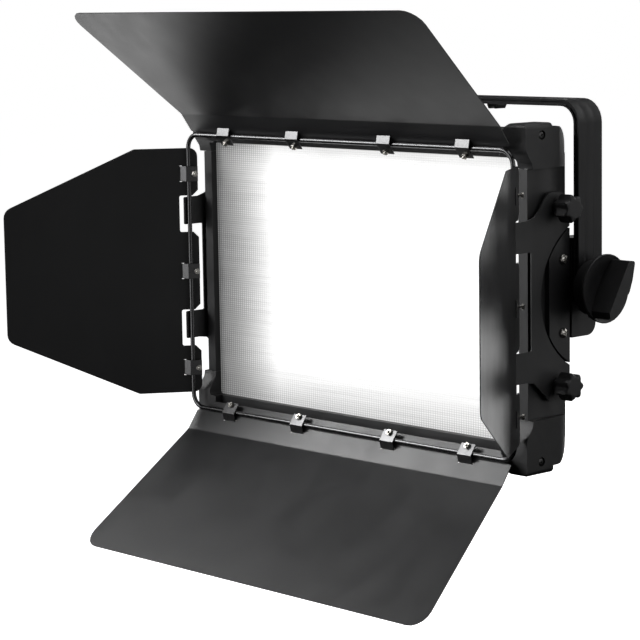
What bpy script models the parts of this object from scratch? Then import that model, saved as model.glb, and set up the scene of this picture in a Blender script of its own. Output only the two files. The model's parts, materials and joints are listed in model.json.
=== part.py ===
"""LED panel light with a four-leaf barndoor on a rod frame, in a U-shaped yoke with a tilt knob.

Metres, +Z up. The world origin is the middle of the crossbar's top face, where the light hangs. Sizes are given
in the panel's own frame: its origin is the centre of the barndoor's rod frame, X to the right, Y to the back and
Z up. The empty panel_frame carries that frame to its place below the crossbar. Each leaf is laid out flat in a
hinge frame: X along its rod, Y away from the rod along the leaf, Z out through the leaf's outer face.
"""

import math

import bmesh
import bpy
from mathutils import Matrix, Vector

MM = 0.001
GAP = 0.3 * MM  # clearance between pieces that touch

# Barndoor rod frame
ROD_X = 240 * MM
ROD_Z = 150 * MM
ROD_RADIUS = 2.5 * MM
ROD_CORNER = 15 * MM

# Barndoor leaves, in their hinge frames
SHEET = 1.0 * MM
LEAF_LOW = ROD_RADIUS + GAP
TONGUE = 10 * MM
FOLD_RADIUS = 6 * MM
WIDE_LEAF_RISE = math.radians(54.5)
WIDE_LEAF_BEND = math.radians(15)
WIDE_FLANGE = 26 * MM
WIDE_FLAP = 173 * MM
WIDE_TONGUE_HALF = 222 * MM
WIDE_FLANGE_HALF = 235 * MM
WIDE_FLAP_HALF = 257 * MM
SIDE_LEAF_SPREAD = math.radians(33.2)
SIDE_HALF = 135 * MM
SIDE_STRAIGHT = 59.5 * MM
SIDE_LENGTH = 202.5 * MM
SIDE_TIP_HALF = 71.5 * MM
NOTCH_CENTRE = 63 * MM
NOTCH_HALF = 20 * MM
NOTCH_DEPTH = 10.7 * MM

# Spring clips
STRAP = 1.0 * MM
CLIP_SLOT = 8.5 * MM
WIDE_CLIPS = (-177 * MM, -68 * MM, 68 * MM, 177 * MM)
WIDE_CLIP_WIDTH = 19 * MM
SIDE_CLIPS = (-107 * MM, 0, 107 * MM)
SIDE_CLIP_WIDTH = 16.5 * MM

# Housing
RAIL_X = 238.6 * MM
WALL = 2.2 * MM
FRONT = 21.4 * MM
LIP_BACK = 28.6 * MM
REAR = 75 * MM
WINDOW_X = 226.5 * MM
WINDOW_TOP = 141 * MM
WINDOW_BOTTOM = -138 * MM
RAIL_TOP = 168 * MM
RAIL_BOTTOM = -160.5 * MM
REAR_CORNER = 20 * MM
CAP_X = 245.5 * MM
CAP_INNER_X = 217 * MM
NOSE = 11.8 * MM
CAP_TOP = 174.5 * MM
CAP_BOTTOM = -166.7 * MM
SEAM_TOP = 131 * MM
SEAM_BOTTOM = -113 * MM

# Tilt pivot and yoke
PIVOT_Y = 94 * MM
PIVOT_Z = 12 * MM
BORE = 5.3 * MM
STUD = 5.0 * MM
BLOCK_X = 226 * MM
YOKE_INNER = 248.5 * MM
YOKE_THICK = 6.5 * MM
YOKE_WIDTH = 34.5 * MM
YOKE_TOP = 195 * MM
YOKE_BEND = 23 * MM
KNOB_HUB = 27 * MM
KNOB_RIM = 34 * MM
KNOB_RIM_X = 275 * MM
KNOB_X = 297 * MM

# Side hardware
PLATE_CENTRE = Vector((111 * MM, 4.8 * MM))
PLATE_RADIUS = 74.7 * MM
PLATE_FRONT = 46.5 * MM
PLATE_REAR = 76.3 * MM
PLATE_X = (238.9 * MM, 244 * MM)
PLATE_SCREWS = (66 * MM, 36 * MM)  # depth, and height above and below the plate's centre
BRACKET_X = (242.9 * MM, 244.4 * MM)
BRACKET_FRONT = 20.5 * MM
CUT_OUT_RADIUS = 77 * MM
STAR_Y = 57 * MM
STAR_Z = (92 * MM, -81 * MM)
STAR_STUD = 3.0 * MM

# Back
BOX_X = 165 * MM
BOX_BACK = 120 * MM
BOX_Z = (-90 * MM, 2 * MM)
SINK_Z = (6 * MM, 104 * MM)
SINK_BACK = 106 * MM
PANEL_BACK = 121.6 * MM

PLANES = {
    "x": (Vector((0, 1, 0)), Vector((0, 0, 1)), Vector((1, 0, 0))),
    "y": (Vector((1, 0, 0)), Vector((0, 0, 1)), Vector((0, 1, 0))),
    "z": (Vector((1, 0, 0)), Vector((0, 1, 0)), Vector((0, 0, 1))),
}


# ---------------------------------------------------------------- shape helpers


def arc(centre, radius, start, end, steps):
    """Points on a circle from one angle to another, both in radians."""
    turns = [start + (end - start) * i / steps for i in range(steps + 1)]
    return [(centre[0] + radius * math.cos(t), centre[1] + radius * math.sin(t)) for t in turns]


def circle(centre, radius, steps=20):
    return arc(centre, radius, 0, 2 * math.pi, steps)[:-1]


def rectangle(low, high):
    return [(low[0], low[1]), (high[0], low[1]), (high[0], high[1]), (low[0], high[1])]


def rounded(corners, steps=5):
    """An outline from (u, v, radius) corners, with an arc in place of each corner whose radius isn't 0."""
    outline = []
    for i, (u, v, radius) in enumerate(corners):
        here = Vector((u, v))
        if not radius:
            outline.append((u, v))
            continue
        before = (Vector(corners[i - 1][:2]) - here).normalized()
        after = (Vector(corners[(i + 1) % len(corners)][:2]) - here).normalized()
        half = before.angle(after) / 2
        centre = here + (before + after).normalized() * radius / math.sin(half)
        first = here + before * radius / math.tan(half) - centre
        last = here + after * radius / math.tan(half) - centre
        start = math.atan2(first.y, first.x)
        turn = (math.atan2(last.y, last.x) - start + math.pi) % (2 * math.pi) - math.pi
        outline += arc(centre, radius, start, start + turn, steps)
    return outline


def flipped(outline, side):
    """The outline as it is for side 1, mirrored in its first coordinate for side -1."""
    return [(side * u, v) for u, v in outline]


def add_prism(bm, outline, along, low, high):
    first, second, third = PLANES[along]
    corners = [bm.verts.new(first * p + second * q + third * low) for p, q in outline]
    face = bm.faces.new(corners)
    raised = bmesh.ops.extrude_face_region(bm, geom=[face])["geom"]
    moved = [item for item in raised if isinstance(item, bmesh.types.BMVert)]
    bmesh.ops.translate(bm, verts=moved, vec=third * (high - low))


def add_loft(bm, rings):
    """A closed skin over rings of equally many points, with flat ends."""
    made = [[bm.verts.new(point) for point in ring] for ring in rings]
    count = len(rings[0])
    for lower, upper in zip(made, made[1:]):
        for i in range(count):
            j = (i + 1) % count
            bm.faces.new((lower[i], lower[j], upper[j], upper[i]))
    bm.faces.new(made[0][::-1])
    bm.faces.new(made[-1])


def turned(along, centre, profile, steps=24):
    """Rings of a turned shape: profile lists (distance along the axis, radius)."""
    first, second, third = PLANES[along]
    return [
        [first * p + second * q + third * place for p, q in circle(centre, radius, steps)]
        for place, radius in profile
    ]


def finished(bm, name):
    bmesh.ops.recalc_face_normals(bm, faces=bm.faces[:])
    mesh = bpy.data.meshes.new(name)
    bm.to_mesh(mesh)
    bm.free()
    mesh.shade_smooth()
    mesh.set_sharp_from_angle(angle=math.radians(35))
    return mesh


def prism(name, outline, along, low, high):
    bm = bmesh.new()
    add_prism(bm, outline, along, low, high)
    return finished(bm, name)


def loft(name, rings):
    bm = bmesh.new()
    add_loft(bm, rings)
    return finished(bm, name)


def place(name, data, parent, material=None, at=(0, 0, 0)):
    item = bpy.data.objects.new(name, data)
    bpy.context.scene.collection.objects.link(item)
    item.parent = parent
    item.location = at
    if material:
        data.materials.append(material)
    return item


def moving(name, mesh, parent, material, pivot):
    """A piece whose mesh is laid out in its parent's frame, with its origin moved to its joint."""
    mesh.transform(Matrix.Translation(-Vector(pivot)))
    return place(name, mesh, parent, material, pivot)


def combine(item, tool_mesh, operation="DIFFERENCE"):
    """Cut the item with a tool, or join the tool to it. The tool is laid out in the item's own frame."""
    tool = place(item.name + "_tool", tool_mesh, item)
    tool.hide_render = True
    tool.display_type = "WIRE"
    modifier = item.modifiers.new(operation.lower(), "BOOLEAN")
    modifier.operation = operation
    modifier.object = tool
    modifier.solver = "EXACT"


def empty(name, parent, matrix):
    item = bpy.data.objects.new(name, None)
    bpy.context.scene.collection.objects.link(item)
    item.parent = parent
    item.matrix_basis = matrix
    return item


def finish(name, colour, roughness, metallic=0.0):
    material = bpy.data.materials.new(name)
    material.use_nodes = True
    shader = material.node_tree.nodes["Principled BSDF"]
    shader.inputs["Base Color"].default_value = (*colour, 1)
    shader.inputs["Roughness"].default_value = roughness
    shader.inputs["Metallic"].default_value = metallic
    return material


def black(name, roughness=0.5):
    return finish(name, (0.02, 0.02, 0.022), roughness)


# ---------------------------------------------------------------- yoke and tilt hardware


def yoke_section():
    """Half thickness out from the strip's middle, and place across its width, round the section."""
    thick = YOKE_THICK / 2
    wide = YOKE_WIDTH / 2
    groove_half, groove_centre, depth = 2.5 * MM, 6.5 * MM, 0.5 * MM
    slit, slit_depth = 1.1 * MM, 1.4 * MM
    outer = [(thick, -wide)]
    for centre in (-groove_centre, groove_centre):
        outer += [(thick, centre - groove_half), (thick - depth, centre), (thick, centre + groove_half)]
    outer.append((thick, wide))
    back = [(slit, wide), (slit, wide - slit_depth), (-slit, wide - slit_depth), (-slit, wide)]
    return outer + back + [(-thick, wide), (-thick, -wide)] + [(p, -q) for p, q in reversed(back)]


def yoke(frame):
    middle_x = YOKE_INNER + YOKE_THICK / 2
    bend = YOKE_BEND - YOKE_THICK / 2
    centre = (middle_x - bend, YOKE_TOP - YOKE_BEND)
    half = [((middle_x, PIVOT_Z - YOKE_WIDTH / 2 - 1 * MM), 0.0)]
    steps = 7
    for i in range(steps + 1):
        turn = math.pi / 2 * i / steps
        half.append(((centre[0] + bend * math.cos(turn), centre[1] + bend * math.sin(turn)), turn))
    path = half + [((-x, z), math.pi - turn) for (x, z), turn in reversed(half)]
    rings = []
    for (x, z), turn in path:
        outward = Vector((math.cos(turn), 0, math.sin(turn)))
        rings.append([Vector((x, PIVOT_Y + across, z)) + outward * out for out, across in yoke_section()])
    item = place("yoke", loft("yoke", rings), frame, black("yoke_paint", 0.45))
    bm = bmesh.new()
    radius = YOKE_WIDTH / 2
    beyond = radius + 3 * MM
    end = arc((PIVOT_Y, PIVOT_Z), radius, math.pi, 2 * math.pi, 14)
    outline = [(PIVOT_Y - beyond, PIVOT_Z)] + end + [(PIVOT_Y + beyond, PIVOT_Z)]
    outline += [(PIVOT_Y + beyond, PIVOT_Z - beyond), (PIVOT_Y - beyond, PIVOT_Z - beyond)]
    reach = YOKE_INNER + 20 * MM
    for side in (1, -1):
        low, high = sorted((side * (YOKE_INNER - 5 * MM), side * reach))
        add_prism(bm, outline, "x", low, high)
        add_prism(bm, circle((PIVOT_Y, PIVOT_Z), BORE), "x", low, high)
    add_prism(bm, circle((0, PIVOT_Y), 6.3 * MM, 24), "z", YOKE_TOP - 15 * MM, YOKE_TOP + 5 * MM)
    combine(item, finished(bm, "yoke_cuts"))


def friction_washer(frame, side, name):
    low, high = sorted((side * (CAP_X + GAP), side * (YOKE_INNER - GAP)))
    mesh = prism(name, circle((PIVOT_Y, PIVOT_Z), 17 * MM, 32), "x", low, high)
    item = place(name, mesh, frame, finish(name + "_fibre", (0.05, 0.05, 0.05), 0.8))
    combine(item, prism(name + "_bore", circle((PIVOT_Y, PIVOT_Z), BORE), "x", low - MM, high + MM))


def wing_outline():
    """The grip's outline in (y, z) from the pivot: a leaning bar, widest a little above its middle."""
    corners = [
        (8.5, 28, 1), (17.5, 27, 2.5), (13.5, 9, 0), (9, -2.5, 3), (-13, -27, 1), (-19.5, -27, 1.5), (-20.5, -20, 0),
    ]
    return rounded([(y * MM, z * MM, radius * MM) for y, z, radius in corners], 3)


def tilt_knob(frame):
    """Stud, hub, dished rim and a winged grip that rises from the dish, on the right arm."""
    start = YOKE_INNER + YOKE_THICK + GAP
    profile = [
        (232 * MM, STUD), (start, STUD), (start, KNOB_HUB - MM), (start + MM, KNOB_HUB),
        (KNOB_RIM_X - 7 * MM, KNOB_HUB), (KNOB_RIM_X - 3 * MM, KNOB_RIM - 0.5 * MM), (KNOB_RIM_X, KNOB_RIM),
        (KNOB_RIM_X + 0.8 * MM, KNOB_RIM - 0.8 * MM), (KNOB_RIM_X, KNOB_RIM - 2.5 * MM),
        (KNOB_RIM_X - 4 * MM, 14 * MM),
    ]
    mesh = loft("tilt_knob", turned("x", (PIVOT_Y, PIVOT_Z), profile, 36))
    item = moving("tilt_knob", mesh, frame, black("knob_plastic"), (0, PIVOT_Y, PIVOT_Z))
    combine(item, prism("wing", wing_outline(), "x", KNOB_RIM_X - 6 * MM, KNOB_X), "UNION")


def pivot_screw(frame):
    """Socket-head screw that is the pivot on the left arm."""
    start = -(YOKE_INNER + YOKE_THICK + GAP)
    profile = [
        (-232 * MM, STUD), (start, STUD), (start, 14 * MM), (start - 2 * MM, 14 * MM), (start - 2 * MM, 9 * MM),
        (start - 7.4 * MM, 9 * MM), (start - 8 * MM, 8.4 * MM),
    ]
    item = place("pivot_screw_left", loft("pivot_screw_left", turned("x", (PIVOT_Y, PIVOT_Z), profile)), frame,
                 finish("screw_steel", (0.1, 0.1, 0.1), 0.35, 1.0))
    combine(item, prism("socket", circle((PIVOT_Y, PIVOT_Z), 4.6 * MM, 6), "x", start - 12 * MM, start - 4 * MM))


def safety_fitting(frame):
    """Small two-pronged fitting under the crossbar, for a safety wire."""
    top = YOKE_TOP - YOKE_THICK - GAP
    outline = [
        (125 * MM, top), (139 * MM, top), (139 * MM, top - 1.4 * MM), (137 * MM, top - 5 * MM),
        (134.6 * MM, top - 5 * MM), (134.6 * MM, top - 1.6 * MM), (129.4 * MM, top - 1.6 * MM),
        (129.4 * MM, top - 5 * MM), (127 * MM, top - 5 * MM), (125 * MM, top - 1.4 * MM),
    ]
    mesh = prism("safety_fitting", outline, "y", PIVOT_Y - 7 * MM, PIVOT_Y + 7 * MM)
    place("safety_fitting", mesh, frame, finish("dull_steel", (0.2, 0.2, 0.19), 0.5, 1.0))


# ---------------------------------------------------------------- housing


def rail_section(outer, window, rear):
    """Section of a rail in (out from the middle, y): a boxed lip round the window, and a wall to the back."""
    inner = outer - WALL
    skin = 2 * MM
    section = [
        (window, FRONT), (outer, FRONT), (outer, rear), (inner, rear), (inner, FRONT + skin),
        (window + skin, FRONT + skin), (window + skin, LIP_BACK), (window, LIP_BACK),
    ]
    return section


def cross_rail_section(outer, window, cover_edge):
    """Section of the top or bottom rail: as a side rail's, with its rear corner rounded over to the back cover."""
    inner = outer - WALL
    skin = 2 * MM
    centre = (outer - REAR_CORNER, REAR - REAR_CORNER)
    over = arc(centre, REAR_CORNER, 0, math.pi / 2, 8)
    under = arc(centre, REAR_CORNER - WALL, math.pi / 2, 0, 8)
    front = [(window + skin, LIP_BACK), (window, LIP_BACK), (window, FRONT), (outer, FRONT)]
    back = [(cover_edge, REAR), (cover_edge, REAR - WALL)]
    return front + over + back + under + [(inner, FRONT + skin), (window + skin, FRONT + skin)]


def side_rail(frame, side, name):
    """Extruded side rail, with bosses and holes for the star knobs and holes for the side plate's screws."""
    section = flipped(rail_section(RAIL_X, WINDOW_X, REAR), side)
    item = place(name, prism(name, section, "z", SEAM_BOTTOM + GAP, SEAM_TOP - GAP), frame, black(name + "_paint"))
    bosses = bmesh.new()
    holes = bmesh.new()
    for z in STAR_Z:
        low, high = sorted((side * (RAIL_X - 1 * MM), side * (BRACKET_X[0] - GAP)))
        add_prism(bosses, circle((STAR_Y, z), 8 * MM), "x", low, high)
        low, high = sorted((side * (RAIL_X - 6 * MM), side * (BRACKET_X[0] + MM)))
        add_prism(holes, circle((STAR_Y, z), STAR_STUD + GAP, 16), "x", low, high)
    for z in (-PLATE_SCREWS[1], PLATE_SCREWS[1]):
        low, high = sorted((side * (RAIL_X - 6 * MM), side * (RAIL_X + MM)))
        add_prism(holes, circle((PLATE_SCREWS[0], PLATE_CENTRE.y + z), 2.8 * MM, 12), "x", low, high)
    combine(item, finished(bosses, name + "_bosses"), "UNION")
    combine(item, finished(holes, name + "_holes"))


def cross_rail(frame, level, name):
    outer, window = (RAIL_TOP, WINDOW_TOP) if level > 0 else (-RAIL_BOTTOM, -WINDOW_BOTTOM)
    section = [(y, level * out) for out, y in cross_rail_section(outer, window, outer - REAR_CORNER)]
    half = CAP_INNER_X - GAP
    place(name, prism(name, section, "x", -half, half), frame, black(name + "_paint"))


def cap_side_outline(level):
    """Side view of a corner cap in (y, z): nose with its ramp, raised tab, step and rounded rear corner."""
    seam, end = (SEAM_TOP, CAP_TOP) if level > 0 else (SEAM_BOTTOM, CAP_BOTTOM)
    step = 3.5 * MM if level > 0 else 7 * MM
    low = end - level * step
    corners = [
        (FRONT, seam, 0), (FRONT - 1.2 * MM, seam + level * 6 * MM, 0), (NOSE + 3.4 * MM, seam + level * 13 * MM, 0),
        (NOSE, seam + level * 19 * MM, 0), (NOSE, end, 4 * MM), (50 * MM, end, 1.2 * MM), (50 * MM, low, 0),
        (REAR, low, REAR_CORNER), (REAR, seam, 0),
    ]
    return rounded(corners, 6)


def cap_front_outline(side, level):
    """Front view of a corner cap in (x, z): an L round the window's corner, its inner end slanting down."""
    seam, end, window = (
        (SEAM_TOP, CAP_TOP, WINDOW_TOP) if level > 0 else (SEAM_BOTTOM, CAP_BOTTOM, WINDOW_BOTTOM)
    )
    slant = 4 * MM
    corners = [
        (CAP_INNER_X, window, 0), (CAP_INNER_X, end - level * slant, 0),
        (CAP_INNER_X + 6 * MM, end, 0), (CAP_X, end, 5 * MM), (CAP_X, seam, 0), (WINDOW_X, seam, 0),
        (WINDOW_X, window, 3 * MM),
    ]
    return flipped(rounded(corners, 4), side)


def corner_cap(frame, side, level, name):
    """Moulded corner of the housing, hollow behind the window's lip."""
    item = place(name, prism(name, cap_front_outline(side, level), "y", NOSE - 2 * MM, REAR + 2 * MM), frame,
                 black(name + "_plastic", 0.55))
    low, high = sorted((side * (CAP_INNER_X - 5 * MM), side * (CAP_X + 5 * MM)))
    combine(item, prism(name + "_profile", cap_side_outline(level), "x", low, high), "INTERSECT")
    plan = rounded([
        (200 * MM, 0, 0), (CAP_X + 5 * MM, 0, 0), (CAP_X + 5 * MM, 60 * MM, 0), (CAP_X, 60 * MM, 0),
        (238 * MM, REAR + MM, 0), (238 * MM, REAR + 5 * MM, 0), (200 * MM, REAR + 5 * MM, 0),
    ])
    reach = 200 * MM
    combine(item, prism(name + "_plan", flipped(plan, side), "z", -reach, reach), "INTERSECT")
    hollow = bmesh.new()
    outer = RAIL_TOP - WALL if level > 0 else RAIL_BOTTOM + WALL
    inner = CAP_INNER_X - 20 * MM
    low, high = sorted((side * inner, side * (RAIL_X - WALL)))
    seam = SEAM_TOP if level > 0 else SEAM_BOTTOM
    turn = math.pi / 2
    centre = (REAR - REAR_CORNER, outer - level * (REAR_CORNER - WALL))
    corner = arc(centre, REAR_CORNER - WALL, turn * level, 0, 6)
    room = [(LIP_BACK, seam - level * 20 * MM), (LIP_BACK, outer)] + corner
    room += [(REAR - WALL, centre[1]), (REAR + 10 * MM, centre[1]), (REAR + 10 * MM, seam - level * 20 * MM)]
    add_prism(hollow, room, "x", low, high)
    screw = (35 * MM, 163 * MM) if level > 0 else (33 * MM, -154 * MM)
    low, high = sorted((side * (CAP_X - 2.5 * MM), side * (CAP_X + 5 * MM)))
    add_prism(hollow, circle(screw, 4.6 * MM), "x", low, high)
    combine(item, finished(hollow, name + "_hollow"))


def diffuser(frame):
    half = RAIL_X - WALL - 0.5 * MM
    outline = rectangle((-half, RAIL_BOTTOM + WALL + 0.5 * MM), (half, RAIL_TOP - WALL - 0.5 * MM))
    mesh = prism("diffuser", outline, "y", LIP_BACK + GAP, LIP_BACK + GAP + 2.5 * MM)
    place("diffuser", mesh, frame, finish("frosted_acrylic", (0.95, 0.95, 0.95), 0.4))


def led_board(frame):
    outline = rectangle((-225 * MM, -135 * MM), (225 * MM, 144 * MM))
    mesh = prism("led_board", outline, "y", REAR - 4 * MM, REAR - 2.5 * MM)
    place("led_board", mesh, frame, finish("white_board", (0.85, 0.85, 0.85), 0.5))


def back_cover(frame):
    corner = 6 * MM
    half = 237.5 * MM
    low, high = RAIL_BOTTOM + REAR_CORNER, RAIL_TOP - REAR_CORNER
    outline = rounded([(-half, low, corner), (half, low, corner), (half, high, corner), (-half, high, corner)])
    mesh = prism("back_cover", outline, "y", REAR + GAP, REAR + 2 * MM)
    place("back_cover", mesh, frame, black("cover_paint"))


def heat_sink(frame):
    """Base with upright fins across the back, one comb-shaped section extruded upwards."""
    fins = 21
    pitch = 2 * BOX_X / (fins - 1)
    thick = 2.2 * MM
    base = REAR + 2 * MM + GAP
    floor = base + 4 * MM
    section = [(-BOX_X - thick / 2, base), (BOX_X + thick / 2, base)]
    for i in reversed(range(fins)):
        middle = -BOX_X + i * pitch
        section += [(middle + thick / 2, SINK_BACK), (middle - thick / 2, SINK_BACK)]
        if i:
            section += [(middle - thick / 2, floor), (middle - pitch + thick / 2, floor)]
    place("heat_sink", prism("heat_sink", section, "z", *SINK_Z), frame,
          finish("black_anodised", (0.03, 0.03, 0.03), 0.4, 0.8))


def control_box(frame):
    base = REAR + 2 * MM + GAP
    edge = 12 * MM
    section = [
        (base, BOX_Z[0]), (BOX_BACK - edge, BOX_Z[0]), (BOX_BACK, BOX_Z[0] + edge), (BOX_BACK, BOX_Z[1] - edge),
        (BOX_BACK - edge, BOX_Z[1]), (base, BOX_Z[1]),
    ]
    item = place("control_box", prism("control_box", section, "x", -BOX_X, BOX_X), frame, black("box_paint"))
    recess = bmesh.new()
    add_prism(recess, rectangle((-104.5 * MM, -56.5 * MM), (-87.5 * MM, -31.5 * MM)), "y", 108 * MM, 130 * MM)
    add_prism(recess, rectangle((-153.5 * MM, -60.5 * MM), (-118.5 * MM, -27.5 * MM)), "y", 102 * MM, 130 * MM)
    combine(item, finished(recess, "control_recess"))
    skin = 2.5 * MM
    inner = [
        (base - 5 * MM, BOX_Z[0] + skin), (BOX_BACK - edge - skin / 2, BOX_Z[0] + skin),
        (BOX_BACK - skin, BOX_Z[0] + edge + skin / 2), (BOX_BACK - skin, BOX_Z[1] - edge - skin / 2),
        (BOX_BACK - edge - skin / 2, BOX_Z[1] - skin), (base - 5 * MM, BOX_Z[1] - skin),
    ]
    combine(item, prism("control_hollow", inner, "x", skin - BOX_X, BOX_X - skin))


def control_panel(frame):
    corner = 3 * MM
    low, high = (-110 * MM, -74 * MM), (125 * MM, -14 * MM)
    outline = rounded([(*low, corner), (high[0], low[1], corner), (*high, corner), (low[0], high[1], corner)], 3)
    mesh = prism("control_panel", outline, "y", BOX_BACK + GAP, PANEL_BACK)
    item = place("control_panel", mesh, frame, black("panel_print", 0.35))
    hole = prism("switch_hole", rectangle((-104.5 * MM, -56.5 * MM), (-87.5 * MM, -31.5 * MM)), "y",
                 BOX_BACK - 5 * MM, PANEL_BACK + 5 * MM)
    combine(item, hole)


def display_window(frame):
    outline = rounded([(-66 * MM, -60 * MM, 2 * MM), (2 * MM, -60 * MM, 2 * MM), (2 * MM, -28 * MM, 2 * MM),
                       (-66 * MM, -28 * MM, 2 * MM)], 3)
    mesh = prism("display_window", outline, "y", PANEL_BACK + GAP, PANEL_BACK + 1.8 * MM)
    place("display_window", mesh, frame, finish("display_glass", (0.02, 0.04, 0.05), 0.1))


def rear_knob(frame, name, x):
    """Turned encoder knob on the control panel, with a fluted skirt."""
    z = -44 * MM
    base = PANEL_BACK + GAP
    flutes = 10
    profile = [(0, 13, 0), (2, 13, 0), (3, 11.4, 0.5), (14, 10.6, 0.5), (16, 9.4, 0.3)]
    rings = []
    for out, radius, flute in profile:
        ring = []
        for i in range(4 * flutes):
            turn = 2 * math.pi * i / (4 * flutes)
            reach = (radius + flute * math.cos(flutes * turn)) * MM
            ring.append(Vector((x + reach * math.cos(turn), base + out * MM, z + reach * math.sin(turn))))
        rings.append(ring)
    moving(name, loft(name, rings), frame, black(name + "_rubber", 0.6), (x, base, z))


def power_switch(frame):
    """Rocker that lies pressed at its lower end, pivoting about X inside its recess."""
    pivot = Vector((-96 * MM, 116 * MM, -44 * MM))
    press = math.radians(8)
    half, deep, face = 11 * MM, 4 * MM, 8.5 * MM
    tip = face - half * math.tan(press)
    outline = [(-deep, -half + 3 * MM), (tip - 1 * MM, -half), (tip, -half + 0.8 * MM), (face, 0)]
    outline += [(tip, half - 0.8 * MM), (tip - 1 * MM, half), (-deep, half - 3 * MM)]
    mesh = prism("power_switch", outline, "x", -8 * MM, 8 * MM)
    mesh.transform(Matrix.Rotation(-press, 4, "X"))
    place("power_switch", mesh, frame, finish("rocker_plastic", (0.02, 0.02, 0.02), 0.3), pivot)


def power_inlet(frame):
    """Mains socket: a flanged body with an open recess."""
    bm = bmesh.new()
    low, high = (-153 * MM, -60 * MM), (-119 * MM, -28 * MM)
    add_prism(bm, rectangle(low, high), "y", 102.4 * MM, BOX_BACK + 1.6 * MM)
    item = place("power_inlet", finished(bm, "power_inlet"), frame, black("inlet_plastic", 0.4))
    shape = [(-148 * MM, -55 * MM, 2 * MM), (-124 * MM, -55 * MM, 2 * MM), (-124 * MM, -38 * MM, 0),
             (-129 * MM, -33 * MM, 0), (-143 * MM, -33 * MM, 0), (-148 * MM, -38 * MM, 0)]
    combine(item, prism("inlet_recess", rounded(shape, 3), "y", 106 * MM, 130 * MM))


# ---------------------------------------------------------------- side hardware


def side_plate(frame, side, name):
    """D-shaped plate on the side rail, flat at its front, with two screw holes."""
    reach = PLATE_FRONT - PLATE_CENTRE.x
    front = math.acos(reach / PLATE_RADIUS)
    rear = math.acos((PLATE_REAR - PLATE_CENTRE.x) / PLATE_RADIUS)
    upper = arc(PLATE_CENTRE, PLATE_RADIUS, rear, front, 8)
    lower = arc(PLATE_CENTRE, PLATE_RADIUS, -front, -rear, 8)
    low, high = sorted((side * PLATE_X[0], side * PLATE_X[1]))
    item = place(name, prism(name, upper + lower, "x", low, high), frame, black(name + "_paint"))
    holes = bmesh.new()
    for z in (-PLATE_SCREWS[1], PLATE_SCREWS[1]):
        add_prism(holes, circle((PLATE_SCREWS[0], PLATE_CENTRE.y + z), 2.8 * MM, 12), "x", low - MM, high + MM)
    combine(item, finished(holes, name + "_holes"))


def plate_screw(frame, side, z, name):
    """Pan-head screw with a cross recess."""
    seat = PLATE_X[1] + GAP
    profile = [(232, 2.5), (seat / MM, 2.5), (seat / MM, 4.9), (seat / MM + 1, 4.9), (seat / MM + 2.2, 3.9),
               (seat / MM + 2.8, 2.2)]
    centre = (PLATE_SCREWS[0], PLATE_CENTRE.y + z)
    rings = turned("x", centre, [(side * out * MM, radius * MM) for out, radius in profile], 20)
    item = place(name, loft(name, rings), frame, finish("screw_nickel", (0.6, 0.58, 0.55), 0.3, 1.0))
    cross = bmesh.new()
    arm, thick = 2.4 * MM, 0.5 * MM
    shape = [(arm, thick), (thick, thick), (thick, arm)]
    turn = list(shape)
    for _ in range(3):
        turn += [(-q, p) for p, q in turn[-3:]]
    outline = [(centre[0] + p, centre[1] + q) for p, q in turn]
    low, high = sorted((side * (seat + 0.8 * MM), side * (seat + 5 * MM)))
    add_prism(cross, outline, "x", low, high)
    combine(item, finished(cross, name + "_cross"))


def bracket(frame, side, name):
    """Plate that carries the rod frame: two tabs that reach forward to the rod, and an arm to each star knob."""
    centre = (PLATE_CENTRE.x, PLATE_CENTRE.y)
    back = 75.5 * MM
    spread = math.acos((back - centre[0]) / CUT_OUT_RADIUS)
    cut_out = arc(centre, CUT_OUT_RADIUS, spread, 2 * math.pi - spread, 22)
    outline = rounded([
        (back, -80 * MM, 5 * MM), (67 * MM, -97 * MM, 10 * MM), (46 * MM, -97 * MM, 8 * MM),
        (39.2 * MM, -90 * MM, 4 * MM), (24 * MM, -76 * MM, 4 * MM), (13 * MM, -74.5 * MM, 0),
        (-5 * MM, -74.5 * MM, 1.5 * MM), (-5 * MM, -44.5 * MM, 1.5 * MM), (BRACKET_FRONT, -44.5 * MM, 1.5 * MM),
        (BRACKET_FRONT, 51.5 * MM, 1.5 * MM), (-5 * MM, 51.5 * MM, 1.5 * MM), (-5 * MM, 81.5 * MM, 1.5 * MM),
        (15 * MM, 81.8 * MM, 0), (25.3 * MM, 85 * MM, 4 * MM), (32.5 * MM, 92 * MM, 3 * MM),
        (39 * MM, 101 * MM, 4 * MM), (46 * MM, 107 * MM, 8 * MM), (67 * MM, 107 * MM, 10 * MM),
        (back, 90 * MM, 5 * MM),
    ], 3)
    low, high = sorted((side * BRACKET_X[0], side * BRACKET_X[1]))
    item = place(name, prism(name, outline + cut_out, "x", low, high), frame, black(name + "_paint", 0.6))
    holes = bmesh.new()
    for z in STAR_Z:
        add_prism(holes, circle((STAR_Y, z), STAR_STUD + GAP, 16), "x", low - MM, high + MM)
    combine(item, finished(holes, name + "_holes"))


def star_knob(frame, side, z, name):
    """Seven-lobed clamping knob on a stud."""
    seat = BRACKET_X[1] / MM + 0.3
    lobes = 7
    points = 5 * lobes
    profile = [(232, 3, 0), (seat, 3, 0), (seat, 7, 0), (250, 8, 0), (251, 11.4, 1.6), (253, 12.4, 1.7),
               (265.5, 12.4, 1.7), (267.4, 11, 1.4), (268, 9, 0.6)]
    rings = []
    for out, radius, lobe in profile:
        ring = []
        for i in range(points):
            turn = 2 * math.pi * i / points
            reach = (radius + lobe * math.cos(lobes * turn)) * MM
            ring.append(Vector((side * out * MM, STAR_Y + reach * math.cos(turn), z + reach * math.sin(turn))))
        rings.append(ring)
    moving(name, loft(name, rings), frame, black(name + "_plastic"), (0, STAR_Y, z))


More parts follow.
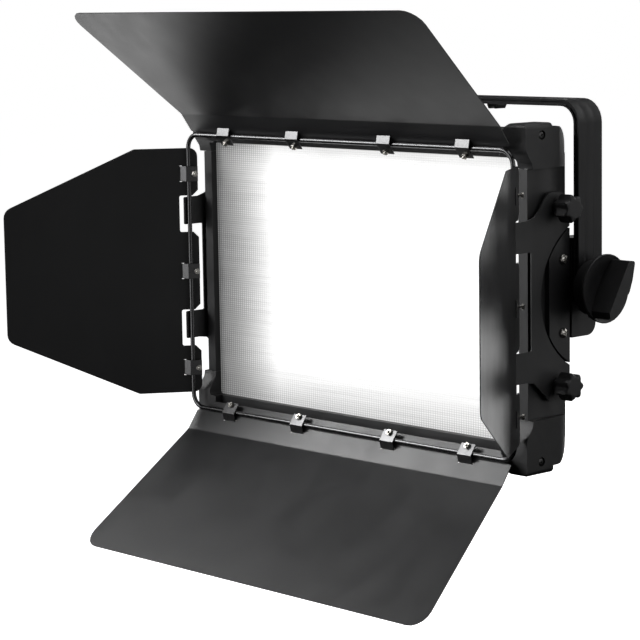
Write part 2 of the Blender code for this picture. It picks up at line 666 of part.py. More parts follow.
def pivot_block(frame, side, name):
    """Rounded block on the back that the yoke's pivot passes through."""
    low, high = sorted((side * BLOCK_X, side * CAP_X))
    corner = 12 * MM
    y0, y1, z0, z1 = REAR + 2 * MM + GAP, 113 * MM, -37 * MM, 61 * MM
    outline = rounded([(y0, z0, 0), (y1, z0, corner), (y1, z1, corner), (y0, z1, 0)], 6)
    item = place(name, prism(name, outline, "x", low, high), frame, black(name + "_paint"))
    combine(item, prism(name + "_bore", circle((PIVOT_Y, PIVOT_Z), BORE), "x", low - MM, high + MM))


# ---------------------------------------------------------------- barndoor


def rod_frame(frame):
    """One bent and welded rod, a closed rectangle with rounded corners."""
    corner = ROD_CORNER
    outline = rounded([(-ROD_X, -ROD_Z, corner), (ROD_X, -ROD_Z, corner), (ROD_X, ROD_Z, corner),
                       (-ROD_X, ROD_Z, corner)], 6)
    curve = bpy.data.curves.new("rod_frame", "CURVE")
    curve.dimensions = "3D"
    curve.bevel_depth = ROD_RADIUS
    curve.bevel_resolution = 4
    spline = curve.splines.new("POLY")
    spline.points.add(len(outline) - 1)
    for point, (x, z) in zip(spline.points, outline):
        point.co = (x, 0, z, 1)
    spline.use_cyclic_u = True
    place("rod_frame", curve, frame, finish("rod_steel", (0.1, 0.1, 0.1), 0.3, 1.0))


def folded(point, bend_at, angle):
    """A point of a flat sheet after the sheet beyond bend_at is folded towards its inner face."""
    spread = FOLD_RADIUS * angle
    start = bend_at - spread / 2
    run = point.y - start
    if run <= 0:
        return point
    turn = min(run / FOLD_RADIUS, angle)
    past = max(run - spread, 0)
    reach = FOLD_RADIUS + point.z
    along = start + reach * math.sin(turn) + past * math.cos(turn)
    drop = point.z - reach * (1 - math.cos(turn)) - past * math.sin(turn)
    return Vector((point.x, along, drop))


def leaf_mesh(name, outline, bend=None):
    """A sheet-metal leaf, with an optional fold across it."""
    bm = bmesh.new()
    add_prism(bm, outline, "z", LEAF_LOW, LEAF_LOW + SHEET)
    if bend:
        bend_at, angle = bend
        spread = FOLD_RADIUS * angle
        for i in range(5):
            line = Vector((0, bend_at - spread / 2 + spread * i / 4, 0))
            geometry = bm.verts[:] + bm.edges[:] + bm.faces[:]
            bmesh.ops.bisect_plane(bm, geom=geometry, plane_co=line, plane_no=(0, 1, 0), dist=1e-7)
        for vert in bm.verts:
            vert.co = folded(vert.co, bend_at, angle)
    return finished(bm, name)


def clip_slots(item, places, width):
    bm = bmesh.new()
    for x in places:
        low = (x - width / 2 - 0.6 * MM, CLIP_SLOT - 1.3 * MM)
        high = (x + width / 2 + 0.6 * MM, CLIP_SLOT + 1.3 * MM)
        add_prism(bm, rectangle(low, high), "z", LEAF_LOW - 2 * MM, LEAF_LOW + 3 * MM)
    combine(item, finished(bm, item.name + "_slots"))


def wide_leaf(name, hinge):
    """Top or bottom leaf: a flange at the rod and a flap bent in beyond it, wider at its free edge."""
    end = WIDE_FLANGE + WIDE_FLAP
    right = [
        (WIDE_TONGUE_HALF - 8 * MM, -TONGUE, 2 * MM), (WIDE_TONGUE_HALF, -TONGUE + 8 * MM, 2 * MM),
        (WIDE_TONGUE_HALF, 1 * MM, 0), (WIDE_FLANGE_HALF, 2.5 * MM, 2 * MM), (WIDE_FLANGE_HALF, WIDE_FLANGE, 0),
        (WIDE_FLAP_HALF, end, 18 * MM),
    ]
    left = [(-x, y, radius) for x, y, radius in reversed(right)]
    mesh = leaf_mesh(name, rounded(right + left, 5), (WIDE_FLANGE, WIDE_LEAF_BEND))
    item = place(name, mesh, hinge, black(name + "_paint", 0.6))
    clip_slots(item, WIDE_CLIPS, WIDE_CLIP_WIDTH)


def side_leaf(name, hinge):
    """Left or right leaf: flat, tapering to its free edge, notched where the bracket's tabs hold the rod."""
    low, high = NOTCH_CENTRE - NOTCH_HALF, NOTCH_CENTRE + NOTCH_HALF
    chamfer = 6 * MM
    right = [
        (low - chamfer, -TONGUE, 0), (low, -TONGUE + chamfer, 0), (low, NOTCH_DEPTH, 2 * MM),
        (high, NOTCH_DEPTH, 2 * MM), (high, -TONGUE + chamfer, 0), (high + chamfer, -TONGUE, 0),
        (SIDE_HALF, -TONGUE, 9 * MM), (SIDE_HALF, SIDE_STRAIGHT, 6 * MM), (SIDE_TIP_HALF, SIDE_LENGTH, 12 * MM),
    ]
    left = [(-x, y, radius) for x, y, radius in reversed(right)]
    item = place(name, leaf_mesh(name, rounded(right + left, 4)), hinge, black(name + "_paint", 0.6))
    clip_slots(item, SIDE_CLIPS, SIDE_CLIP_WIDTH)


def clip_outline():
    """Side view of a clip in (along the leaf, out from the rod): foot over the rod, wall, hook behind the leaf."""
    near = ROD_RADIUS + GAP
    far = near + STRAP
    corner = 3.4 * MM
    half = STRAP / 2
    behind = LEAF_LOW + SHEET + GAP
    foot_end = -TONGUE + 0.5 * MM
    outer = [(foot_end, -near), (foot_end, -far), (corner, -far), (CLIP_SLOT + half, LEAF_LOW - half)]
    hook = [(CLIP_SLOT + half, behind), (CLIP_SLOT + 4 * MM, behind), (CLIP_SLOT + 4 * MM, behind + STRAP)]
    inner = [(CLIP_SLOT - half, behind + STRAP), (CLIP_SLOT - half, LEAF_LOW), (corner - half, -near)]
    return outer + hook + inner


def clip(name, hinge, x, width):
    outline = clip_outline()
    mesh = prism(name, outline, "x", x - width / 2, x + width / 2)
    place(name, mesh, hinge, finish(name + "_spring_steel", (0.12, 0.12, 0.12), 0.35, 1.0))


def hinge_frame(name, frame, centre, axis, outward):
    """The frame a leaf is laid out in: its X is the joint's axis, its Y runs out along the leaf."""
    axis, outward = Vector(axis), Vector(outward)
    turned_frame = Matrix((axis, outward, axis.cross(outward))).transposed().to_4x4()
    return empty(name, frame, Matrix.Translation(centre) @ turned_frame)


def barndoor(frame):
    rise = WIDE_LEAF_RISE
    spread = SIDE_LEAF_SPREAD
    for level, name in ((1, "top"), (-1, "bottom")):
        outward = (0, -math.cos(rise), level * math.sin(rise))
        hinge = hinge_frame("hinge_" + name, frame, (0, 0, level * ROD_Z), (-level, 0, 0), outward)
        wide_leaf("leaf_" + name, hinge)
        for i, x in enumerate(WIDE_CLIPS):
            clip(f"clip_{name}_{i + 1}", hinge, x, WIDE_CLIP_WIDTH)
    for side, name in ((1, "right"), (-1, "left")):
        outward = (side * math.sin(spread), -math.cos(spread), 0)
        hinge = hinge_frame("hinge_" + name, frame, (side * ROD_X, 0, 0), (0, 0, side), outward)
        side_leaf("leaf_" + name, hinge)
        for i, x in enumerate(SIDE_CLIPS):
            clip(f"clip_{name}_{i + 1}", hinge, x, SIDE_CLIP_WIDTH)


def main():
    for item in list(bpy.data.objects):
        bpy.data.objects.remove(item)
    frame = empty("panel_frame", None, Matrix.Translation((0, -PIVOT_Y, -YOKE_TOP)))
    yoke(frame)
    safety_fitting(frame)
    tilt_knob(frame)
    pivot_screw(frame)
    for side, name in ((1, "right"), (-1, "left")):
        friction_washer(frame, side, "friction_washer_" + name)
        pivot_block(frame, side, "pivot_block_" + name)
        side_rail(frame, side, "side_rail_" + name)
        side_plate(frame, side, "side_plate_" + name)
        bracket(frame, side, "bracket_" + name)
        for level, word in ((1, "upper"), (-1, "lower")):
            corner_cap(frame, side, level, f"corner_cap_{word}_{name}")
            plate_screw(frame, side, level * PLATE_SCREWS[1], f"plate_screw_{word}_{name}")
            star_knob(frame, side, STAR_Z[0 if level > 0 else 1], f"star_knob_{word}_{name}")
    cross_rail(frame, 1, "top_rail")
    cross_rail(frame, -1, "bottom_rail")
    diffuser(frame)
    led_board(frame)
    back_cover(frame)
    heat_sink(frame)
    control_box(frame)
    control_panel(frame)
    display_window(frame)
    rear_knob(frame, "dimmer_knob", 32 * MM)
    rear_knob(frame, "colour_knob", 86 * MM)
    power_switch(frame)
    power_inlet(frame)
    rod_frame(frame)
    barndoor(frame)


main()
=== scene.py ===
"""Looks of the LED panel light round its CAD frame: materials, fasteners, rear markings, camera, studio."""

import json
import math

import bmesh
import bpy
from mathutils import Matrix, Vector


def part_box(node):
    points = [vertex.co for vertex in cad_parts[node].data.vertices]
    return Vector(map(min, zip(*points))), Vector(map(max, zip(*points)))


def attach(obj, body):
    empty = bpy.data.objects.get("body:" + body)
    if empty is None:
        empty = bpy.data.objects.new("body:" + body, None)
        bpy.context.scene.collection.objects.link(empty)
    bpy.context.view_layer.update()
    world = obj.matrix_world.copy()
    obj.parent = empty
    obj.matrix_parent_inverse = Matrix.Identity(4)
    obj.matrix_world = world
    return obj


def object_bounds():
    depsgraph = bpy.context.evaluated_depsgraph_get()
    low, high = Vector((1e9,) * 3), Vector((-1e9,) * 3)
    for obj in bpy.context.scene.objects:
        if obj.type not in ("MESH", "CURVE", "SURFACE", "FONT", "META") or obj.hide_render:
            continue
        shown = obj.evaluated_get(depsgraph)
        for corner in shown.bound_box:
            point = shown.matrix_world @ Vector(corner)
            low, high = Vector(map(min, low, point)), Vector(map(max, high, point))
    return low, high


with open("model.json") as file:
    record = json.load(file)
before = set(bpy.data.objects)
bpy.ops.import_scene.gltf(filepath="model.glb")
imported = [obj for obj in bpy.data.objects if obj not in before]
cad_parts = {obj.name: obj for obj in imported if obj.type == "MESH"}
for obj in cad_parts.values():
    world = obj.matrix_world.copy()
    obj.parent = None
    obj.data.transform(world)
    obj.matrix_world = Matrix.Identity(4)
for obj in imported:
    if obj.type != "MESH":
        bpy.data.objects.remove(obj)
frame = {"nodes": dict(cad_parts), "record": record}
CAD_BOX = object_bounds()
NODES = frame["nodes"]
MM = 0.001

# Camera, from the centre of the barndoor's rod frame
CAMERA_FROM_RODS = Vector((1.7939, -1.6914, 0.3005))
CAMERA_TURN = math.radians(47.2)
CAMERA_PITCH = math.radians(7.7)
CAMERA_ROLL = math.radians(-0.9)
CAMERA_LENS = 136.0
CAMERA_SENSOR = 36.0

# Barndoor
CLIPS = {"top": 4, "bottom": 4, "left": 3, "right": 3}
LEAF_RISE = math.radians(54.5)
LEAF_SPREAD = math.radians(33.2)
GAP = 0.3 * MM
STRAP = 1.0 * MM
FOOT_SCREW = -6.2 * MM  # place of a clip's screw along its leaf, from the rod

# Screws in the corner caps: depth behind the rods, and height from their centre
CAP_SCREWS = {"upper": (35 * MM, 163 * MM), "lower": (33 * MM, -154 * MM)}

EDGE_WIDTH = 0.35 * MM
FLOOR_DROP = 0.25


# ---------------------------------------------------------------- places


def middle(name):
    low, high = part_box(name)
    return (low + high) / 2


RODS = middle("rod_frame")
ROD_LOW, ROD_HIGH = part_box("rod_frame")
ROD_RADIUS = (ROD_HIGH.y - ROD_LOW.y) / 2
ROD_X = ROD_HIGH.x - ROD_RADIUS - RODS.x
ROD_Z = ROD_HIGH.z - ROD_RADIUS - RODS.z


def leaf_frame(word):
    """Matrix of a leaf's hinge frame: X along its rod, Y out along the leaf, Z out through its outer face."""
    if word in ("top", "bottom"):
        level = 1 if word == "top" else -1
        axis = Vector((-level, 0, 0))
        outward = Vector((0, -math.cos(LEAF_RISE), level * math.sin(LEAF_RISE)))
        centre = RODS + Vector((0, 0, level * ROD_Z))
    else:
        side = 1 if word == "right" else -1
        axis = Vector((0, 0, side))
        outward = Vector((side * math.sin(LEAF_SPREAD), -math.cos(LEAF_SPREAD), 0))
        centre = RODS + Vector((side * ROD_X, 0, 0))
    turned = Matrix((axis, outward, axis.cross(outward))).transposed().to_4x4()
    return Matrix.Translation(centre) @ turned


# ---------------------------------------------------------------- meshes


def ring(radius, place, count, turn=0.0):
    step = 2 * math.pi / count
    return [Vector((radius * math.cos(turn + i * step), radius * math.sin(turn + i * step), place))
            for i in range(count)]


def add_loft(bm, rings, topped=True):
    """A skin over rings of equally many points, with a flat start, and a flat top where asked for."""
    made = [[bm.verts.new(point) for point in points] for points in rings]
    count = len(rings[0])
    for lower, upper in zip(made, made[1:]):
        for i in range(count):
            j = (i + 1) % count
            bm.faces.new((lower[i], lower[j], upper[j], upper[i]))
    bm.faces.new(made[0][::-1])
    if topped:
        bm.faces.new(made[-1])
    return made


def add_box(bm, low, high):
    size = Vector(high) - Vector(low)
    centre = (Vector(high) + Vector(low)) / 2
    matrix = Matrix.Translation(centre) @ Matrix.Diagonal((*size, 1))
    bmesh.ops.create_cube(bm, size=1, matrix=matrix)


def to_mesh(bm, name):
    bmesh.ops.recalc_face_normals(bm, faces=bm.faces[:])
    mesh = bpy.data.meshes.new(name)
    bm.to_mesh(mesh)
    bm.free()
    mesh.shade_smooth()
    mesh.set_sharp_from_angle(angle=math.radians(35))
    return mesh


def piece(name, mesh, matrix, material, body):
    """A named piece that rides on a CAD body."""
    item = bpy.data.objects.new(name, mesh)
    bpy.context.scene.collection.objects.link(item)
    item.matrix_world = matrix
    if not mesh.materials:
        mesh.materials.append(material)
    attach(item, body)
    return item


def cross_screw_mesh(name, radius, height, recess):
    """Pan-head screw along +Z with a cross recess, sunk by lowering a cross-shaped patch of its top."""
    bm = bmesh.new()
    count = 32
    profile = [(0.72 * radius, -0.8 * height), (0.72 * radius, 0), (radius, 0), (radius, 0.35 * height),
               (0.92 * radius, 0.62 * height), (0.75 * radius, 0.82 * height), (0.56 * radius, 0.94 * height)]
    made = add_loft(bm, [ring(r, z, count) for r, z in profile], topped=False)
    arm, thick = 0.46 * radius, 0.13 * radius
    outline = []
    for quarter in range(4):
        turn = Matrix.Rotation(quarter * math.pi / 2, 3, "Z")
        for x, y in ((arm, -thick), (arm, thick), (thick, thick)):
            outline.append(turn @ Vector((x, y, height * 0.97)))
    top = [bm.verts.new(point) for point in outline]
    edges = [bm.edges.new((top[i], top[(i + 1) % len(top)])) for i in range(len(top))]
    rim = [bm.edges.get((made[-1][i], made[-1][(i + 1) % count])) for i in range(count)]
    bmesh.ops.triangle_fill(bm, edges=edges + rim, use_beauty=True)
    inside = [f for f in bm.faces if all(v in top for v in f.verts)]
    bmesh.ops.delete(bm, geom=inside, context="FACES_ONLY")
    floor = [bm.verts.new(point - Vector((0, 0, recess))) for point in outline]
    for i in range(len(top)):
        j = (i + 1) % len(top)
        bm.faces.new((top[i], top[j], floor[j], floor[i]))
    bm.faces.new(floor)
    return to_mesh(bm, name)


def hex_nut_and_screw_mesh(name):
    """Clip fastener along +Z: head on the leaf's far side, shank, hex nut on the strap, threaded end."""
    bm = bmesh.new()
    head = [(2.0, -2.4), (2.9, -2.0), (3.0, -0.6), (2.9, 0)]
    add_loft(bm, [ring(r * MM, (z - 10.6) * MM, 20) for r, z in head])
    add_loft(bm, [ring(1.45 * MM, z * MM, 14) for z in (-10.8, -0.4)])
    nut = [(3.1, 0.05), (3.45, 0.35), (3.45, 2.2), (3.1, 2.55)]
    add_loft(bm, [ring(r * MM, z * MM, 6) for r, z in nut])
    threads = []
    for i in range(9):
        radius = 1.55 if i % 2 else 1.3
        threads.append(ring(radius * MM, (2.3 + 0.22 * i) * MM, 14))
    threads.append(ring(1.0 * MM, 4.35 * MM, 14))
    add_loft(bm, threads)
    return to_mesh(bm, name)


# ---------------------------------------------------------------- materials


class Nodes:
    """Short hand for building one material's node tree."""

    def __init__(self, name):
        self.material = bpy.data.materials.new(name)
        self.material.use_nodes = True
        self.tree = self.material.node_tree
        self.shader = self.tree.nodes["Principled BSDF"]
        coordinates = self.tree.nodes.new("ShaderNodeTexCoord")
        self.place = coordinates.outputs["Object"]

    def link(self, source, target):
        self.tree.links.new(source, target)

    def stretched(self, scale):
        mapping = self.tree.nodes.new("ShaderNodeMapping")
        mapping.inputs["Scale"].default_value = scale
        self.link(self.place, mapping.inputs["Vector"])
        return mapping.outputs["Vector"]

    def noise(self, scale, detail=3.0, stretch=None, roughness=0.5):
        node = self.tree.nodes.new("ShaderNodeTexNoise")
        node.inputs["Scale"].default_value = scale
        node.inputs["Detail"].default_value = detail
        node.inputs["Roughness"].default_value = roughness
        self.link(self.stretched(stretch) if stretch else self.place, node.inputs["Vector"])
        return node.outputs["Fac"]

    def spread(self, value, low, high, start=0.3, end=0.7):
        node = self.tree.nodes.new("ShaderNodeMapRange")
        for label, number in (("From Min", start), ("From Max", end), ("To Min", low), ("To Max", high)):
            node.inputs[label].default_value = number
        self.link(value, node.inputs["Value"])
        return node.outputs["Result"]

    def math(self, operation, first, second=None):
        node = self.tree.nodes.new("ShaderNodeMath")
        node.operation = operation
        for socket, value in zip(node.inputs, (first, second)):
            if isinstance(value, (int, float)):
                socket.default_value = value
            elif value is not None:
                self.link(value, socket)
        return node.outputs["Value"]

    def mix(self, factor, first, second):
        node = self.tree.nodes.new("ShaderNodeMix")
        node.data_type = "RGBA"
        self.link(factor, node.inputs["Factor"])
        for label, value in (("A", first), ("B", second)):
            socket = [s for s in node.inputs if s.name == label and s.type == "RGBA"][0]
            if isinstance(value, tuple):
                socket.default_value = (*value, 1)
            else:
                self.link(value, socket)
        return [s for s in node.outputs if s.type == "RGBA"][0]

    def bump(self, height, distance, strength=1.0):
        node = self.tree.nodes.new("ShaderNodeBump")
        node.inputs["Distance"].default_value = distance
        node.inputs["Strength"].default_value = strength
        self.link(height, node.inputs["Height"])
        self.link(node.outputs["Normal"], self.shader.inputs["Normal"])

    def set(self, **values):
        for label, value in values.items():
            self.shader.inputs[label.replace("_", " ")].default_value = value


def paint(name, dark, light, rough, grain, bump, specular=0.5):
    """Powder coat or fine paint: faint cloudiness in colour and gloss, with a fine orange-peel grain."""
    nodes = Nodes(name)
    clouds = nodes.noise(9, 4)
    nodes.link(nodes.mix(nodes.spread(clouds, 0, 1), dark, light), nodes.shader.inputs["Base Color"])
    smears = nodes.noise(38, 5, (1, 1, 0.35))
    nodes.link(nodes.spread(smears, rough[0], rough[1]), nodes.shader.inputs["Roughness"])
    nodes.bump(nodes.noise(grain, 2), bump)
    nodes.set(Specular_IOR_Level=specular)
    return nodes.material


def moulding(name, shade, rough, grain):
    """Moulded plastic with a spark-eroded grain."""
    nodes = Nodes(name)
    clouds = nodes.noise(22, 3)
    low = tuple(0.8 * c for c in shade)
    high = tuple(1.25 * c for c in shade)
    nodes.link(nodes.mix(nodes.spread(clouds, 0, 1), low, high), nodes.shader.inputs["Base Color"])
    fine = nodes.noise(grain, 1, roughness=0.8)
    nodes.link(nodes.spread(fine, rough - 0.06, rough + 0.08), nodes.shader.inputs["Roughness"])
    nodes.bump(fine, 0.00012)
    return nodes.material


def metal(name, shade, rough, brush=(1, 1, 1), scale=900):
    """Bare or blackened metal with fine drawing marks along one direction."""
    nodes = Nodes(name)
    marks = nodes.noise(scale, 3, brush)
    low = tuple(0.75 * c for c in shade)
    nodes.link(nodes.mix(nodes.spread(marks, 0, 1), low, shade), nodes.shader.inputs["Base Color"])
    nodes.link(nodes.spread(marks, rough - 0.06, rough + 0.1), nodes.shader.inputs["Roughness"])
    nodes.bump(marks, 0.00003)
    nodes.set(Metallic=1.0)
    return nodes.material


def window_material():
    """Frosted sheet of small prisms, lit from behind: a fine grid that shows where the light falls off."""
    nodes = Nodes("lit_frosted_acrylic")
    split = nodes.tree.nodes.new("ShaderNodeSeparateXYZ")
    nodes.link(nodes.place, split.inputs["Vector"])
    across, up = split.outputs["X"], split.outputs["Z"]
    low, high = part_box("diffuser")
    pitch_across, pitch_up = 3.3 * MM, 2.3 * MM

    def cell(value, pitch):
        return nodes.math("ABSOLUTE", nodes.math("SINE", nodes.math("MULTIPLY", value, math.pi / pitch)))

    grid = nodes.math("MULTIPLY", cell(across, pitch_across), cell(up, pitch_up))
    left = nodes.spread(across, 0, 1, low.x, low.x + 105 * MM)
    below = nodes.spread(up, 0.45, 1, low.z + 10 * MM, low.z + 70 * MM)
    above = nodes.spread(up, 1, 0.75, high.z - 55 * MM, high.z - 20 * MM)
    glow = nodes.math("MULTIPLY", nodes.math("POWER", left, 1.3), nodes.math("MULTIPLY", below, above))
    cloud = nodes.spread(nodes.noise(26, 4, (0.3, 1, 9)), 0.9, 1.06)
    level = nodes.math("MULTIPLY", nodes.spread(glow, 0.2, 1.12, 0, 1), cloud)
    contrast = nodes.spread(glow, 0.95, 0.14, 0.1, 0.95)
    lit = nodes.math("MULTIPLY", level, nodes.math("SUBTRACT", 1.0, nodes.math(
        "MULTIPLY", contrast, nodes.math("SUBTRACT", 1.0, grid))))
    nodes.link(lit, nodes.shader.inputs["Emission Strength"])
    nodes.bump(grid, 0.0003, 0.5)
    nodes.set(Base_Color=(0.2, 0.2, 0.2, 1), Roughness=0.45, Emission_Color=(1.0, 1.0, 0.995, 1))
    return nodes.material


def display_material():
    """Dark display with a few generic level bars."""
    nodes = Nodes("display_glass")
    split = nodes.tree.nodes.new("ShaderNodeSeparateXYZ")
    nodes.link(nodes.place, split.inputs["Vector"])
    low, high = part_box("display_window")
    wide, tall = high.x - low.x, high.z - low.z
    along = nodes.spread(split.outputs["X"], 0, 1, low.x + 0.12 * wide, high.x - 0.12 * wide)
    up = nodes.spread(split.outputs["Z"], 0, 1, low.z + 0.2 * tall, high.z - 0.2 * tall)
    columns = nodes.math("GREATER_THAN", nodes.math("FRACT", nodes.math("MULTIPLY", along, 12)), 0.35)
    rows = nodes.math("LESS_THAN", nodes.math("ABSOLUTE", nodes.math("SUBTRACT", up, 0.5)), 0.22)
    past_start = nodes.math("GREATER_THAN", along, 0.01)
    inside = nodes.math("MULTIPLY", past_start, nodes.math("LESS_THAN", along, 0.75))
    bars = nodes.math("MULTIPLY", nodes.math("MULTIPLY", columns, rows), inside)
    nodes.link(nodes.mix(bars, (0.006, 0.01, 0.012), (0.25, 0.5, 0.55)), nodes.shader.inputs["Base Color"])
    nodes.link(nodes.math("MULTIPLY", bars, 0.6), nodes.shader.inputs["Emission Strength"])
    nodes.link(nodes.spread(nodes.noise(60, 3), 0.05, 0.14), nodes.shader.inputs["Roughness"])
    nodes.set(Emission_Color=(0.4, 0.8, 0.85, 1))
    return nodes.material


def make_materials():
    black = (0.016, 0.016, 0.017)
    return {
        "yoke_paint": paint(
            "yoke_paint", (0.007, 0.007, 0.008), (0.011, 0.011, 0.012), (0.4, 0.5), 900, 0.00004, 0.35),
        "housing_paint": paint(
            "housing_paint", (0.012, 0.012, 0.013), (0.018, 0.018, 0.019), (0.4, 0.52), 1100, 0.00006),
        "bracket_paint": paint(
            "bracket_paint", (0.026, 0.026, 0.027), (0.032, 0.032, 0.033), (0.48, 0.58), 1300, 0.00007),
        "leaf_paint": paint(
            "leaf_paint", (0.014, 0.014, 0.015), (0.019, 0.019, 0.02), (0.34, 0.4), 1500, 0.00005),
        "cap_plastic": moulding("cap_plastic", black, 0.5, 1500),
        "knob_plastic": moulding("knob_plastic", (0.012, 0.012, 0.013), 0.5, 1700),
        "rear_knob_rubber": moulding("rear_knob_rubber", (0.02, 0.02, 0.02), 0.65, 2200),
        "switch_plastic": moulding("switch_plastic", (0.012, 0.012, 0.012), 0.22, 2600),
        "friction_fibre": moulding("friction_fibre", (0.03, 0.028, 0.026), 0.8, 1200),
        "panel_print": paint(
            "panel_print", (0.014, 0.014, 0.015), (0.018, 0.018, 0.019), (0.3, 0.4), 2200, 0.00003),
        "circuit_board": paint(
            "circuit_board", (0.75, 0.75, 0.73), (0.85, 0.85, 0.83), (0.35, 0.5), 700, 0.00003),
        "fin_aluminium": metal("fin_aluminium", (0.05, 0.05, 0.052), 0.42, (1, 1, 0.05)),
        "rod_steel": metal("rod_steel", (0.1, 0.1, 0.102), 0.24, (1, 1, 1), 1200),
        "spring_steel": metal("spring_steel", (0.15, 0.15, 0.152), 0.32, (1, 0.2, 1), 1400),
        "dull_steel": metal("dull_steel", (0.2, 0.2, 0.19), 0.5),
        "screw_steel": metal("screw_steel", (0.1, 0.1, 0.1), 0.38),
        "screw_nickel": metal("screw_nickel", (0.62, 0.6, 0.56), 0.25, (1, 1, 1), 1600),
        "frosted_acrylic": window_material(),
        "display_glass": display_material(),
    }


MATERIALS = make_materials()
WHITE = paint("print_white", (0.7, 0.7, 0.7), (0.8, 0.8, 0.8), (0.5, 0.6), 2500, 0.00002)


def soften(item, width):
    """Round the sharp edges a little and keep the flat faces flat."""
    weld = item.modifiers.new("weld", "WELD")
    weld.merge_threshold = 0.00001
    bevel = item.modifiers.new("edges", "BEVEL")
    bevel.width = width
    bevel.segments = 2
    bevel.limit_method = "ANGLE"
    bevel.angle_limit = math.radians(32)
    for polygon in item.data.polygons:
        polygon.use_smooth = True
    weighted = item.modifiers.new("normals", "WEIGHTED_NORMAL")
    weighted.weight = 100


def dress_cad_nodes():
    """Each CAD node gets its slot's material, smooth round faces and softened edges."""
    slots = {entry["node"]: entry["material_slot"] for entry in frame["record"]["subparts"]}
    for name, item in NODES.items():
        item.data.materials.clear()
        item.data.materials.append(MATERIALS[slots[name]])
        soften(item, EDGE_WIDTH)


# ---------------------------------------------------------------- small fasteners


def clip_fasteners():
    """A screw and hex nut through each clip's foot."""
    mesh = hex_nut_and_screw_mesh("clip_fastener")
    mesh.materials.append(MATERIALS["screw_nickel"])
    strap_out = ROD_RADIUS + GAP + STRAP
    for word, count in CLIPS.items():
        hinge = leaf_frame(word)
        flip = Matrix.Rotation(math.pi, 4, "X")
        for i in range(1, count + 1):
            local = hinge.inverted() @ middle(f"clip_{word}_{i}")
            spot = Matrix.Translation((local.x, FOOT_SCREW, -strap_out))
            turn = Matrix.Rotation(0.7 * i, 4, "Z")
            matrix = hinge @ spot @ flip @ turn
            piece(f"clip_fastener_{word}_{i}", mesh, matrix, MATERIALS["screw_nickel"], "leaf_" + word)


def cap_screws():
    """A dark cross-head screw in the recess on the side of each corner cap."""
    mesh = cross_screw_mesh("cap_screw", 3.9 * MM, 2.0 * MM, 1.0 * MM)
    for side, word in ((1, "right"), (-1, "left")):
        for level, (depth, height) in CAP_SCREWS.items():
            low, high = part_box(f"corner_cap_{level}_{word}")
            x = (high.x if side > 0 else low.x) - side * 2.4 * MM
            matrix = Matrix.Translation((x, RODS.y + depth, RODS.z + height))
            matrix = matrix @ Matrix.Rotation(side * math.pi / 2, 4, "Y") @ Matrix.Rotation(0.5, 4, "Z")
            piece(f"cap_screw_{level}_{word}", mesh, matrix, MATERIALS["screw_steel"], "housing")


def cover_screws():
    """Cross-head screws round the back cover and at the control panel's corners."""
    mesh = cross_screw_mesh("cover_screw", 3.0 * MM, 1.6 * MM, 0.9 * MM)
    low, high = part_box("back_cover")
    across, down = 10 * MM, 8 * MM
    spots = [(x, z) for x in (low.x + across, 0, high.x - across) for z in (low.z + down, high.z - down)]
    faces = [(x, high.y, z) for x, z in spots]
    low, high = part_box("control_panel")
    inset = 5 * MM
    spots = [(x, z) for x in (low.x + inset, high.x - inset) for z in (low.z + inset, high.z - inset)]
    faces += [(x, high.y, z) for x, z in spots]
    for i, (x, y, z) in enumerate(faces):
        matrix = Matrix.Translation((x, y + 0.05 * MM, z)) @ Matrix.Rotation(-math.pi / 2, 4, "X")
        matrix = matrix @ Matrix.Rotation(0.9 * i, 4, "Z")
        piece(f"cover_screw_{i + 1}", mesh, matrix, MATERIALS["screw_steel"], "housing")


def inlet_pins():
    """Three blades in the mains socket."""
    low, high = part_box("power_inlet")
    centre = (low + high) / 2
    bm = bmesh.new()
    for x, z in ((-7, -2), (0, 2), (7, -2)):
        start = Vector((centre.x + (x - 1) * MM, low.y + 3.2 * MM, centre.z + (z - 2.2) * MM))
        add_box(bm, start, start + Vector((2 * MM, 12 * MM, 4.4 * MM)))
    bmesh.ops.bevel(bm, geom=bm.edges[:], offset=0.3 * MM, segments=2, affect="EDGES")
    piece("inlet_pins", to_mesh(bm, "inlet_pins"), Matrix(), MATERIALS["screw_nickel"], "housing")


def dial_marks():
    """Raised printed ticks round the two rear knobs, and a pointer on each knob."""
    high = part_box("control_panel")[1]
    for word in ("dimmer", "colour"):
        centre = middle(word + "_knob")
        bm = bmesh.new()
        ticks = 11
        for i in range(ticks):
            turn = math.radians(-135 + 270 * i / (ticks - 1))
            inner, outer = 15.2 * MM, (18.5 if i % 5 == 0 else 17.2) * MM
            along = Vector((math.sin(turn), 0, math.cos(turn)))
            side = Vector((math.cos(turn), 0, -math.sin(turn))) * 0.35 * MM
            base = Vector((centre.x, high.y + 0.02 * MM, centre.z))
            corners = []
            for lift in (0, 0.12 * MM):
                raised = base + Vector((0, lift, 0))
                corners.append([bm.verts.new(raised + along * r + side * s)
                                for r, s in ((inner, -1), (outer, -1), (outer, 1), (inner, 1))])
            bm.faces.new(corners[0])
            bm.faces.new(corners[1])
            for j in range(4):
                k = (j + 1) % 4
                bm.faces.new((corners[0][j], corners[0][k], corners[1][k], corners[1][j]))
        piece(word + "_ticks", to_mesh(bm, word + "_ticks"), Matrix(), WHITE, "housing")
        low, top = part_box(word + "_knob")
        bm = bmesh.new()
        add_box(bm, (centre.x - 0.5 * MM, top.y - 0.2 * MM, centre.z + 2 * MM),
                (centre.x + 0.5 * MM, top.y - 0.02 * MM, centre.z + 8.6 * MM))
        bmesh.ops.bevel(bm, geom=bm.edges[:], offset=0.05 * MM, segments=1, affect="EDGES")
        piece(word + "_pointer", to_mesh(bm, word + "_pointer"), Matrix(), WHITE, word + "_knob")


# ---------------------------------------------------------------- camera and studio


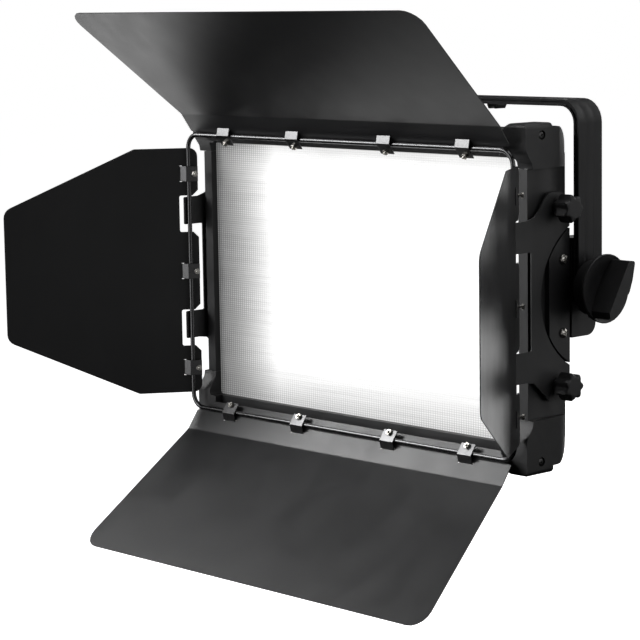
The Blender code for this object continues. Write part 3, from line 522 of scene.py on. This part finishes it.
def set_camera():
    camera = bpy.data.objects.new("camera", bpy.data.cameras.new("camera"))
    bpy.context.scene.collection.objects.link(camera)
    camera.data.lens = CAMERA_LENS
    camera.data.sensor_width = CAMERA_SENSOR
    turn = Matrix.Rotation(CAMERA_TURN, 4, "Z") @ Matrix.Rotation(math.pi / 2 - CAMERA_PITCH, 4, "X")
    turn = turn @ Matrix.Rotation(CAMERA_ROLL, 4, "Z")
    camera.matrix_world = Matrix.Translation(RODS + CAMERA_FROM_RODS) @ turn
    bpy.context.scene.camera = camera


def softbox(name, direction, distance, size, power, aim=RODS):
    """Rectangular soft light that faces the object and isn't seen by the camera itself."""
    light = bpy.data.lights.new(name, "AREA")
    light.shape = "RECTANGLE"
    light.size, light.size_y = size
    light.energy = power
    item = bpy.data.objects.new(name, light)
    bpy.context.scene.collection.objects.link(item)
    item.location = aim + Vector(direction).normalized() * distance
    item.rotation_euler = (aim - item.location).to_track_quat("-Z", "Y").to_euler()
    item.visible_camera = False


def studio():
    scene = bpy.context.scene
    scene.view_settings.view_transform = "Standard"
    world = bpy.data.worlds.new("white_studio")
    world.use_nodes = True
    background = world.node_tree.nodes["Background"]
    background.inputs["Color"].default_value = (1, 1, 1, 1)
    background.inputs["Strength"].default_value = 1.0
    world.cycles_visibility.diffuse = False
    world.cycles_visibility.glossy = False
    scene.world = world
    softbox("key_left", (-0.66, -0.66, 0.36), 2.3, (1.3, 1.0), 26)
    softbox("flange_light", (-0.70, -0.5, 0.51), 2.0, (0.7, 0.4), 13)
    softbox("overhead", (0.1, 0.15, 1.0), 2.2, (2.0, 2.0), 24)
    softbox("back_left", (-0.36, 0.92, -0.05), 2.4, (1.2, 1.8), 20)
    softbox("back_right", (0.75, 0.66, 0.05), 2.6, (1.0, 1.8), 5)
    softbox("front_fill", (-0.25, -0.96, 0.08), 3.0, (2.2, 2.2), 34)
    softbox("side_fill", (0.95, 0.1, 0.25), 2.4, (1.6, 1.6), 8)
    softbox("right_fill", (0.85, -0.5, -0.1), 2.4, (1.0, 1.0), 1)
    softbox("back_fill", (0.15, 0.95, 0.35), 2.6, (1.8, 1.2), 16)
    top_leaf_end = RODS + Vector((-0.2, -0.12, 0.25))
    softbox("low_left", (-0.62, 0.12, -0.42), 0.72, (0.35, 0.35), 0.8, top_leaf_end)


def floor():
    """Plain pale floor well below the hanging light."""
    bm = bmesh.new()
    bmesh.ops.create_grid(bm, x_segments=8, y_segments=8, size=12)
    mesh = to_mesh(bm, "floor")
    item = bpy.data.objects.new("floor", mesh)
    bpy.context.scene.collection.objects.link(item)
    item.location.z = CAD_BOX[0][2] - FLOOR_DROP
    nodes = Nodes("pale_floor")
    tone = nodes.mix(nodes.noise(2, 3), (0.88, 0.88, 0.88), (0.93, 0.93, 0.93))
    nodes.link(tone, nodes.shader.inputs["Base Color"])
    nodes.set(Roughness=0.9, Emission_Color=(1, 1, 1, 1), Emission_Strength=1.0, Specular_IOR_Level=0.1)
    mesh.materials.append(nodes.material)
    item.visible_glossy = False
    item.visible_diffuse = False


dress_cad_nodes()
clip_fasteners()
cap_screws()
cover_screws()
inlet_pins()
dial_marks()
set_camera()
studio()
floor()
